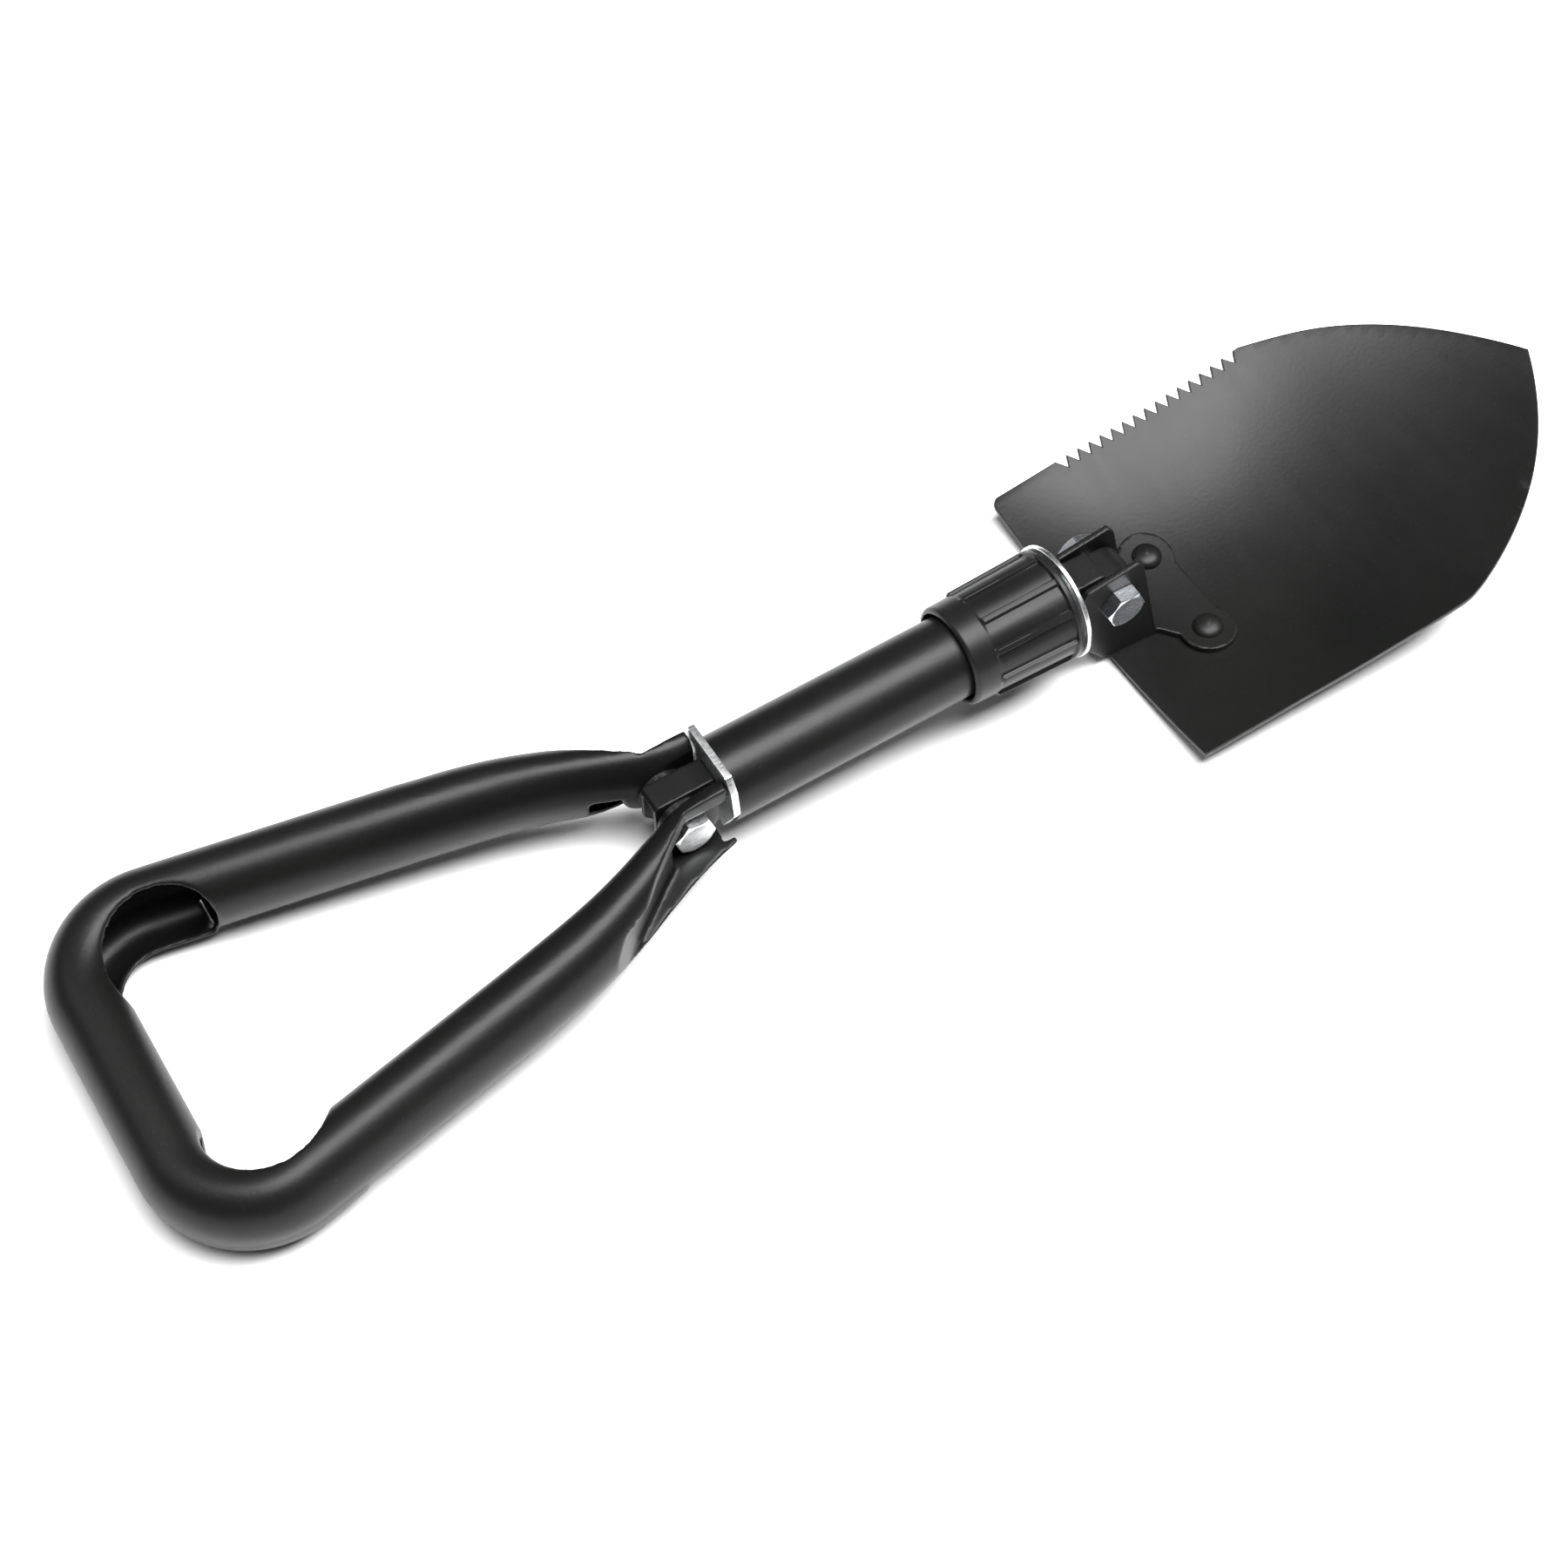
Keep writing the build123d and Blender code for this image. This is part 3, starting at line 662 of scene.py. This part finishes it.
def collar_radius(x, turn):
    """The collar's outer surface: a band, ribs with pockets between them, a flange."""
    share = (x - COLLAR_BACK) / (COLLAR_FRONT - COLLAR_BACK)
    rib_top = COLLAR_R_BACK + COLLAR_TAPER * share
    pitch = 360.0 / RIB_COUNT
    off = (turn - RIB_TURN + pitch / 2) % pitch - pitch / 2
    off_mm = abs(math.radians(off)) * rib_top
    start = COLLAR_BACK + BAND_LENGTH
    finish = COLLAR_FRONT - FLANGE_LENGTH
    past_band = smooth_step(start - 0.3, start + 0.8, x)
    along = past_band * (1 - smooth_step(finish - 0.5, finish + 0.1, x))
    rib = 1 - smooth_step(0.65, 1.15, off_mm)
    pocket_drop = 1.0 + 0.12 * math.cos(math.pi * min(off_mm / 4.4, 1.0))
    band_drop = 0.75 * (1 - smooth_step(finish - 0.3, finish + 0.1, x))
    return rib_top - (1 - rib) * along * pocket_drop - (1 - along) * band_drop


def collar_mesh():
    """The moulded collar, as rings of points along the shaft."""
    xs = [COLLAR_BACK + 0.15 * i for i in range(9)]
    xs += [COLLAR_BACK + 1.5 + 0.9 * i for i in range(6)]
    xs += [COLLAR_BACK + BAND_LENGTH - 0.45 + 0.15 * i for i in range(10)]
    xs += [COLLAR_BACK + BAND_LENGTH + 2 + 1.5 * i for i in range(14)]
    xs += [COLLAR_FRONT - FLANGE_LENGTH - 0.65 + 0.13 * i for i in range(7)]
    xs += [COLLAR_FRONT - 0.9, COLLAR_FRONT - 0.25, COLLAR_FRONT - 0.08, COLLAR_FRONT]
    count = 720
    loops = []

    def ring(x, radius_at):
        points = []
        for i in range(count):
            turn = 360.0 * i / count
            radius = radius_at(turn)
            angle = math.radians(turn)
            points.append(world(x, -radius * math.sin(angle), radius * math.cos(angle)))
        return points

    for x in xs:
        back = max(BACK_ROUND - (x - COLLAR_BACK), 0.0)
        front = max(FRONT_ROUND - (COLLAR_FRONT - x), 0.0)
        cut = BACK_ROUND - math.sqrt(max(BACK_ROUND ** 2 - back ** 2, 0.0)) + front
        loops.append(ring(x, lambda turn: collar_radius(x, turn) - cut))
    for x, radius in ((COLLAR_FRONT, 13.8), (COLLAR_FRONT - 0.1, 13.7),
                      (INSERT_FRONT, 13.7), (INSERT_FRONT, INSERT_SEAT_R),
                      (INSERT_BACK, INSERT_SEAT_R), (INSERT_BACK, 12.0),
                      (COLLAR_BACK + 0.25, 12.0), (COLLAR_BACK, 12.2)):
        loops.append(ring(x, lambda turn: radius))
    loops.append(loops[0])
    mesh = mesh_from_loops("collar_mesh", loops)
    return smooth_by_angle(weld(mesh), 50)


def build_collar():
    """The bright ring, with the hub that the snap ring holds, and the black collar."""
    ring = [(-4.6, 11.1), (-4.6, 13.45), (-3.6, 13.45), (-3.6, 12.75), (-RING_T, 12.75),
            (-RING_T, RING_R), (0.0, RING_R), (0.0, 11.1)]
    mesh = lathe("lock_ring", rounded(ring, 0.3, 3), world, 128)
    add_piece("lock_ring", mesh, "washer", ZINC, ["collar_washer"])
    add_piece("collar_moulding", collar_mesh(), "collar", PLASTIC,
              ["collar_nut"])


def build_handle():
    mesh = pressed_copy("handle_grip", 0.00055, 6)
    add_piece("grip_pressed", mesh, "handle", PAINT, ["handle_grip"])


def finish_cad_nodes():
    """The CAD nodes that stay in view get the same procedural finishes."""
    steel = ("threaded_sleeve", "tongue_pins", "collar_insert", "collar_snap_ring",
             "blade_pivot_bush")
    black = ("handle_pivot_bush", "handle_washer_left", "handle_washer_right")
    for names, finish in ((steel, STEEL), (black, PAINT)):
        for node in names:
            mesh = nodes[node].data
            mesh.materials.clear()
            mesh.materials.append(finish)


build_blade()
build_rivet(1, "rivet_far")
build_rivet(-1, "rivet_near")
build_bolts()
build_shaft()
build_collar()
build_handle()
finish_cad_nodes()


# ---- studio -------------------------------------------------------------------------------
FLOOR_HALF = 3.0
SKY_STRENGTH = 0.06
KEY_PLACE = (0.28, -0.20, 1.10)
KEY_AIM = (0.28, -0.20, 0.0)
CAMERA_ANGLES = (-30.54, 57.64, -1.58)  # azimuth, elevation, roll, about the shaft
CAMERA_PLACE = (-259.5, -301.65, 534.83)  # mm, in the shaft frame
FOCAL_LENGTH = 60.0
SENSOR_WIDTH = 36.0


def floor():
    """A plain pale floor."""
    n = Nodes("studio_floor")
    tone = n.ramp(n.noise(3, 3), [(0.3, (0.93, 0.93, 0.93)), (0.7, (0.96, 0.96, 0.96))])
    n.link(tone, n.shader.inputs["Base Color"])
    n.link(n.ramp(n.noise(200, 3), [(0.3, 0.75), (0.7, 0.85)]), n.shader.inputs["Roughness"])
    bm = bmesh.new()
    spread = [(FLOOR_HALF * x, FLOOR_HALF * y, 0) for x, y in ((-1, -1), (1, -1), (1, 1), (-1, 1))]
    corners = [bm.verts.new(p) for p in spread]
    bm.faces.new(corners)
    mesh = bpy.data.meshes.new("studio_floor")
    bm.to_mesh(mesh)
    bm.free()
    mesh.materials.append(n.material)
    ground = bpy.data.objects.new("studio_floor", mesh)
    bpy.context.scene.collection.objects.link(ground)


def softbox(name, place, aim, size, watts):
    """A rectangular soft light; place, aim and size in metres."""
    light = bpy.data.lights.new(name, 'AREA')
    light.shape = 'RECTANGLE'
    light.size, light.size_y = size
    light.energy = watts
    holder = bpy.data.objects.new(name, light)
    bpy.context.scene.collection.objects.link(holder)
    holder.location = place
    toward = Vector(aim) - Vector(place)
    holder.rotation_euler = toward.to_track_quat('-Z', 'Y').to_euler()


def studio():
    """An even dim sky, a key light over the blade and a soft fill."""
    sky = bpy.data.worlds.new("studio")
    bpy.context.scene.world = sky
    sky.use_nodes = True
    background = sky.node_tree.nodes["Background"]
    background.inputs["Color"].default_value = (1, 1, 1, 1)
    background.inputs["Strength"].default_value = SKY_STRENGTH
    softbox("key", KEY_PLACE, KEY_AIM, (1.3, 0.64), 46)
    softbox("fill", (-0.9, 0.5, 1.3), (0, 0, 0), (1.2, 1.2), 6)
    bpy.context.scene.view_settings.view_transform = 'Standard'


def camera():
    """The camera, set by its direction and place in the shaft frame."""
    azimuth, elevation, roll = (math.radians(a) for a in CAMERA_ANGLES)
    back = Vector((math.sin(azimuth) * math.cos(elevation),
                   -math.cos(azimuth) * math.cos(elevation), math.sin(elevation)))
    right = Vector((0, 0, 1)).cross(back).normalized()
    up = back.cross(right)
    rolled_right = right * math.cos(roll) + up * math.sin(roll)
    rolled_up = up * math.cos(roll) - right * math.sin(roll)
    columns = [TIP @ v for v in (rolled_right, rolled_up, back)]
    pose = Matrix([[column[row] for column in columns] for row in range(3)]).to_4x4()
    pose.translation = world(*CAMERA_PLACE)
    lens = bpy.data.cameras.new("camera")
    lens.lens = FOCAL_LENGTH
    lens.sensor_width = SENSOR_WIDTH
    lens.clip_start = 0.01
    holder = bpy.data.objects.new("camera", lens)
    bpy.context.scene.collection.objects.link(holder)
    holder.matrix_world = pose
    bpy.context.scene.camera = holder


floor()
studio()
camera()
